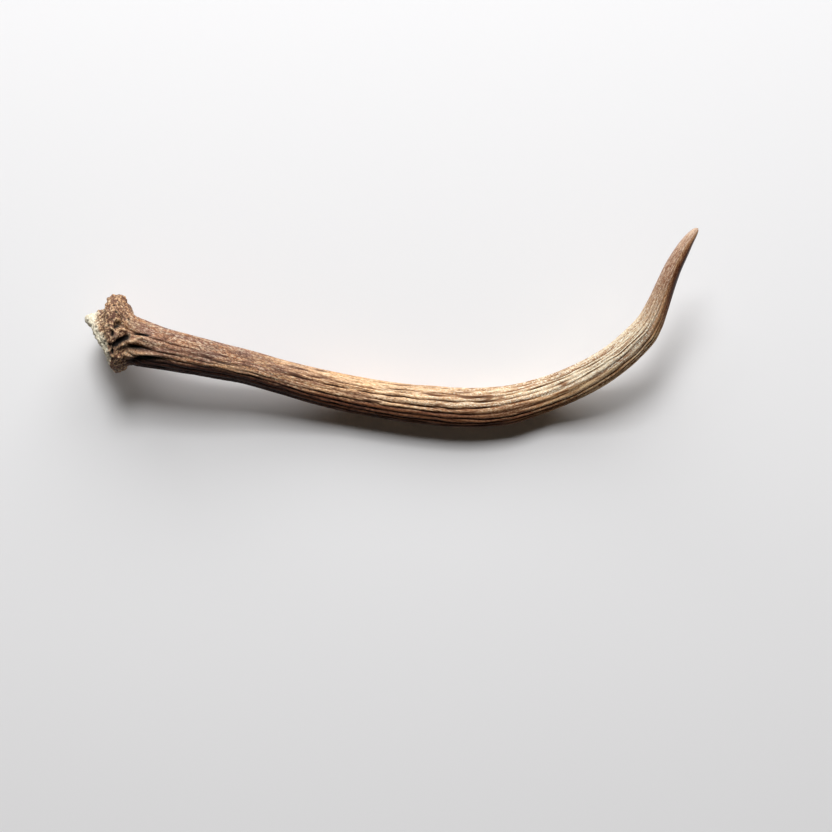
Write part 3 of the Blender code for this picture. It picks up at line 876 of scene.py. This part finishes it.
class BoneSketch:
    """Adds the bone's nodes and joins them, so that its colour reads as paints laid one over another."""

    def __init__(self, nodes, links):
        self.nodes = nodes
        self.links = links
        self.streaks = streak_group()
        self.pores = pore_group()
        self.place = nodes.new("ShaderNodeTexCoord").outputs["Object"]
        self.course = self.attribute("course", "Vector")
        split = nodes.new("ShaderNodeSeparateXYZ")
        links.new(self.course, split.inputs[0])
        self.along = split.outputs["Z"]
        self.masks = {name: self.attribute(name, "Fac") for name in LOOKS}

    def attribute(self, name, output):
        node = self.nodes.new("ShaderNodeAttribute")
        node.attribute_name = name
        return node.outputs[output]

    def put(self, value, socket):
        """Sets a socket to a number or a colour, or links another node to it."""
        if isinstance(value, (int, float, tuple)):
            socket.default_value = value
        else:
            self.links.new(value, socket)

    def maths(self, operation, first, second):
        node = self.nodes.new("ShaderNodeMath")
        node.operation = operation
        node.use_clamp = True
        self.put(first, node.inputs[0])
        self.put(second, node.inputs[1])
        return node.outputs[0]

    def times(self, *amounts):
        found = amounts[0]
        for amount in amounts[1:]:
            found = self.maths("MULTIPLY", found, amount)
        return found

    def levels(self, value, low, high, to_low=0.0, to_high=1.0):
        node = self.nodes.new("ShaderNodeMapRange")
        self.links.new(value, node.inputs["Value"])
        node.inputs["From Min"].default_value = low
        node.inputs["From Max"].default_value = high
        node.inputs["To Min"].default_value = to_low
        node.inputs["To Max"].default_value = to_high
        return node.outputs[0]

    def mix(self, amount, first, second, blend="MIX"):
        """Mixes two colours. A Mix node has its colours at inputs 6 and 7 and output 2."""
        node = self.nodes.new("ShaderNodeMix")
        node.data_type = "RGBA"
        node.blend_type = blend
        self.put(amount, node.inputs[0])
        self.put(first, node.inputs[6])
        self.put(second, node.inputs[7])
        return node.outputs[2]

    def lay(self, colour, paint, *amounts, blend="MIX"):
        """A colour with a paint laid over it where all the amounts are high."""
        red, green, blue, strength = PAINTS[paint]
        return self.mix(self.times(*amounts, strength), colour, tone(red, green, blue), blend)

    def by_length(self, tones):
        """A colour that changes along the bone."""
        node = self.nodes.new("ShaderNodeValToRGB")
        self.links.new(self.levels(self.along, 0.0, TIP * MM), node.inputs[0])
        stops = node.color_ramp.elements
        while len(stops) < len(tones):
            stops.new(0.5)
        for stop, (at, red, green, blue) in zip(stops, tones):
            stop.position = at / TIP
            stop.color = tone(red, green, blue)
        return node.outputs[0]

    def pattern(self, tree, place, sockets, values, output):
        """A node group at a place on the bone, with its own values."""
        node = self.nodes.new("ShaderNodeGroup")
        node.node_tree = tree
        self.links.new(place, node.inputs[0])
        for name, value in zip(sockets, values):
            node.inputs[name].default_value = value
        return node.outputs[output]

    def streak(self, name):
        return self.pattern(self.streaks, self.course, STREAK_SOCKETS, STREAKS[name], "Amount")

    def crease(self, name):
        return self.pattern(self.streaks, self.course, CREASE_SOCKETS, CREASES[name], "Crease")

    def pore(self, name):
        return self.pattern(self.pores, self.place, PORE_SOCKETS, PORES[name], "Amount")

    def stretch(self, name):
        start, full = STRETCHES[name]
        return self.levels(self.along, start * MM, full * MM)

    def strength(self, look, surface):
        off, on = STRENGTHS[look, surface]
        return self.levels(self.masks[surface], 0.0, 1.0, off, on)

    def between(self, name, value):
        return self.levels(value, *LEVELS[name])


def find_surfaces(bone):
    """Adds the kinds of surface to the bone's masks, each from 0 to 1, and the grain and the creases."""
    masks = bone.masks
    for name in ("burr", "bend", "polish"):
        masks[name] = bone.stretch(name)
    masks["base"] = bone.times(bone.stretch("up to the beam"), bone.stretch("past the burr"))
    masks["pale"] = bone.times(bone.stretch("pale"), bone.stretch("up to the tip"))
    masks["lit"] = bone.times(masks["inner"], bone.stretch("sunny"))
    masks["stained_and_shaded"] = bone.maths("MINIMUM", masks["stain_and_shade"], 1.0)
    masks["carved"] = bone.between("carved", masks["groove"])
    masks["beads"] = bone.pore("bead")
    long_grain = bone.times(bone.streak("long grain"), bone.strength("grain", "base"))
    round_grain = bone.times(bone.streak("round grain"), masks["base"])
    masks["grain"] = bone.maths("ADD", long_grain, round_grain)
    lines = bone.maths("MAXIMUM", bone.crease("long"), bone.crease("short"))
    fading = (bone.strength("crease", "polish"), bone.strength("crease", "lit"))
    masks["crease"] = bone.times(lines, bone.streak("creased"), *fading)


def paint_beam(bone, thin):
    """The ridges, with their ruddy, bleached and smoky patches, their stains and patches of painted shade,
    and their grain and creases.
    """
    masks = bone.masks
    colour = bone.by_length(RIDGE_TONES)
    colour = bone.lay(colour, "ruddy", bone.streak("ruddy"), bone.strength("ruddy", "pale"))
    colour = bone.lay(colour, "bleached", bone.streak("bleached"))
    colour = bone.lay(colour, "sunlit", masks["lit"], bone.stretch("lower beam"))
    colour = bone.lay(colour, "smoky", bone.streak("smoky"), masks["base"])
    colour = bone.lay(colour, "stained_and_shaded", masks["stained_and_shaded"])
    in_stains_and_shade = bone.times(masks["stained_and_shaded"], GRAIN_IN_STAINS_AND_SHADE)
    strength = bone.maths("ADD", bone.strength("grain", "lit"), in_stains_and_shade)
    grain = bone.times(masks["grain"], strength, bone.strength("grain", "bend"))
    colour = bone.mix(grain, colour, thin)
    round_speck = bone.times(masks["base"], bone.streak("round speck"))
    speck = bone.maths("MAXIMUM", bone.streak("long speck"), round_speck)
    fading = (bone.strength("speck", "polish"), bone.strength("speck", "stained_and_shaded"))
    colour = bone.lay(colour, "speck", speck, *fading)
    return bone.mix(masks["crease"], colour, thin)


def paint_bend(bone, colour, thin):
    """Brown bands, and dark dots and pale flecks in the grain, on the bend and the tip."""
    bend = bone.masks["bend"]
    band = bone.times(bone.stretch("banded"), bone.streak("band"), bone.strength("band", "polish"))
    colour = bone.lay(colour, "band", band)
    colour = bone.lay(colour, "band dot", band, bone.streak("band dot"))
    dot = bone.times(bend, bone.streak("dot"), bone.strength("dot", "polish"))
    colour = bone.mix(dot, colour, thin)
    return bone.lay(colour, "fleck", bend, bone.streak("fleck"), bone.strength("fleck", "polish"))


def paint_tip(bone, colour):
    """Streaks of the polished tip, and the freckles of its outer side."""
    polish = bone.masks["polish"]
    for name in ("pale streak", "brown streak"):
        colour = bone.lay(colour, name, polish, bone.streak(name))
    freckle = bone.times(polish, bone.streak("freckle"), bone.stretch("short of the point"))
    return bone.lay(colour, "freckle", freckle, bone.between("freckled side", bone.masks["outer"]))


def paint_gutters(bone, colour, thin):
    """Brown in the creases and nearly black at the bottom of the gutters."""
    colour = bone.mix(bone.times(bone.masks["carved"], CARVED_COVER), colour, thin)
    deep = bone.between("dark gutter", bone.masks["groove"])
    return bone.mix(deep, colour, bone.by_length(GUTTER_TONES))


def shade_sides(bone, colour):
    """Painted shade on the outer side, darkest at the base and warmer at the bend, and a greyer inner base.
    """
    inner = bone.masks["inner"]
    outer = bone.masks["outer"]
    base = bone.masks["base"]
    colour = bone.lay(colour, "inner base", inner, base, blend="MULTIPLY")
    colour = bone.lay(colour, "outer side", outer, blend="MULTIPLY")
    colour = bone.lay(colour, "outer base", outer, base, blend="MULTIPLY")
    warm = bone.between("warm side", outer)
    colour = bone.lay(colour, "warm side", warm, bone.masks["bend"], blend="MULTIPLY")
    turned = bone.between("turned side", outer)
    return bone.lay(colour, "turned side", turned, bone.stretch("turned"), blend="MULTIPLY")


def paint_burr(bone, colour):
    """The pale tops and dark edges of the burr's grains, its worn knobs, the chalky seal, and painted shade,
    near black, in the pits and hollows.
    """
    masks = bone.masks
    for name in ("bead top", "bead edge"):
        colour = bone.lay(colour, name, masks["burr"], bone.between(name, masks["beads"]))
    colour = bone.lay(colour, "worn", masks["worn"])
    chalk = bone.lay(tone(*PAINTS["chalk"][:3]), "chalk edge", bone.pore("chalk grain"))
    chalk = bone.lay(chalk, "chalk pore", bone.pore("chalk pore"), bone.stretch("rim of the seal"))
    colour = bone.mix(masks["seal"], colour, chalk)
    return bone.lay(colour, "hollow", bone.between("hollow", masks["hollow"]))


def roughen(bone):
    """How rough the bone is: worn smooth towards the tip, and dull in the seal, the gutters and the pits."""
    masks = bone.masks
    rough = bone.strength("roughness", "polish")
    rough = bone.maths("ADD", rough, bone.times(masks["grain"], GRAIN_ROUGHNESS))
    rough = bone.maths("MAXIMUM", rough, bone.times(masks["seal"], SEAL_ROUGHNESS))
    rough = bone.maths("MAXIMUM", rough, bone.times(masks["carved"], CARVED_ROUGHNESS))
    return bone.maths("MAXIMUM", rough, masks["hollow"])


def bump_height(bone):
    """The finest relief: lower in the grain, in the creases and between the burr's grains."""
    masks = bone.masks
    grain = bone.times(masks["grain"], bone.strength("grain height", "polish"))
    height = bone.maths("SUBTRACT", BUMP_LEVEL, grain)
    height = bone.maths("SUBTRACT", height, bone.times(masks["crease"], BUMP_CREASE))
    return bone.maths("SUBTRACT", height, bone.times(masks["beads"], masks["burr"], BUMP_BEADS))


def bone_material():
    """Weathered brown at the base, tan and grooved along the beam, polished towards the tip."""
    material, nodes, links = new_material("Antler bone")
    bone = BoneSketch(nodes, links)
    find_surfaces(bone)
    thin = bone.by_length(CREASE_TONES)
    colour = paint_beam(bone, thin)
    colour = paint_bend(bone, colour, thin)
    colour = paint_tip(bone, colour)
    colour = paint_gutters(bone, colour, thin)
    colour = shade_sides(bone, colour)
    colour = paint_burr(bone, colour)
    bump = nodes.new("ShaderNodeBump")
    bump.inputs["Distance"].default_value = BUMP_DEPTH * MM
    bump.inputs["Strength"].default_value = BUMP_STRENGTH
    links.new(bump_height(bone), bump.inputs["Height"])
    shader = nodes["Principled BSDF"]
    links.new(colour, shader.inputs["Base Color"])
    links.new(roughen(bone), shader.inputs["Roughness"])
    links.new(bump.outputs["Normal"], shader.inputs["Normal"])
    shader.inputs["Metallic"].default_value = 0.0
    shader.inputs["Specular IOR Level"].default_value = BONE_SPECULAR
    return material


def make_antler():
    carved = carve_antler()
    lay_down(carved)
    data = bpy.data.meshes.new(ANTLER_NAME)
    carved.to_mesh(data)
    carved.free()
    data.shade_smooth()
    data.materials.append(bone_material())
    piece = bpy.data.objects.new(ANTLER_NAME, data)
    bpy.context.scene.collection.objects.link(piece)
    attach(piece, "root")
    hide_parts("antler")


# The table: half its width in metres, how far its top is under the antler, and its finish.
TABLE_REACH = 2.0
TABLE_GAP = 0.0002
TABLE_TONE = (234, 233, 234)
TABLE_ROUGHNESS = 0.9
TABLE_SPECULAR = 0.2


def make_table():
    """The pale surface that the antler lies on."""
    mesh = bmesh.new()
    bmesh.ops.create_grid(mesh, x_segments=1, y_segments=1, size=TABLE_REACH)
    bmesh.ops.translate(mesh, vec=(0.0, 0.0, -TABLE_GAP), verts=mesh.verts)
    data = bpy.data.meshes.new("table_top")
    mesh.to_mesh(data)
    mesh.free()
    material, nodes, _ = new_material("Pale table")
    shader = nodes["Principled BSDF"]
    shader.inputs["Base Color"].default_value = tone(*TABLE_TONE)
    shader.inputs["Roughness"].default_value = TABLE_ROUGHNESS
    shader.inputs["Specular IOR Level"].default_value = TABLE_SPECULAR
    data.materials.append(material)
    table = bpy.data.objects.new("table_top", data)
    bpy.context.scene.collection.objects.link(table)


# Where the camera is in metres, and its lens in millimetres.
CAMERA_PLACE = (0.01475, -0.04613, 1.2711)
LENS = 100.0
SENSOR = 36.0

# The two lamps, a small one for the dark middle of the shadows and a broad one for their soft edges:
# (name, the way to it, width and height in metres, watts). The sky fills the shadows a little.
LAMPS = [
    ("window_lamp", (-0.06, 0.49, 0.73), (0.65, 0.64), 31.0),
    ("broad_lamp", (0.09, 1.05, 0.73), (2.7, 1.4), 43.5),
]
LAMP_DISTANCE = 2.1
LAMP_COLOUR = (0.985, 0.995, 1.0)
SKY_COLOUR = (1.0, 0.86, 0.68, 1.0)
SKY_STRENGTH = 0.036


def set_light():
    for name, way, (width, height), watts in LAMPS:
        lamp = bpy.data.lights.new(name, "AREA")
        lamp.shape = "RECTANGLE"
        lamp.size = width
        lamp.size_y = height
        lamp.energy = watts
        lamp.color = LAMP_COLOUR
        holder = bpy.data.objects.new(name, lamp)
        holder.location = Vector(way).normalized() * LAMP_DISTANCE
        holder.rotation_euler = Vector(way).to_track_quat("Z", "Y").to_euler()
        bpy.context.scene.collection.objects.link(holder)
    sky = bpy.data.worlds.new("studio")
    sky.use_nodes = True
    background = sky.node_tree.nodes["Background"]
    background.inputs["Color"].default_value = SKY_COLOUR
    background.inputs["Strength"].default_value = SKY_STRENGTH
    bpy.context.scene.world = sky
    bpy.context.scene.view_settings.view_transform = "Standard"


def set_camera():
    lens = bpy.data.cameras.new("overhead")
    lens.lens = LENS
    lens.sensor_width = SENSOR
    camera = bpy.data.objects.new("overhead", lens)
    camera.location = CAMERA_PLACE
    bpy.context.scene.collection.objects.link(camera)
    bpy.context.scene.camera = camera


make_antler()
make_table()
set_light()
set_camera()
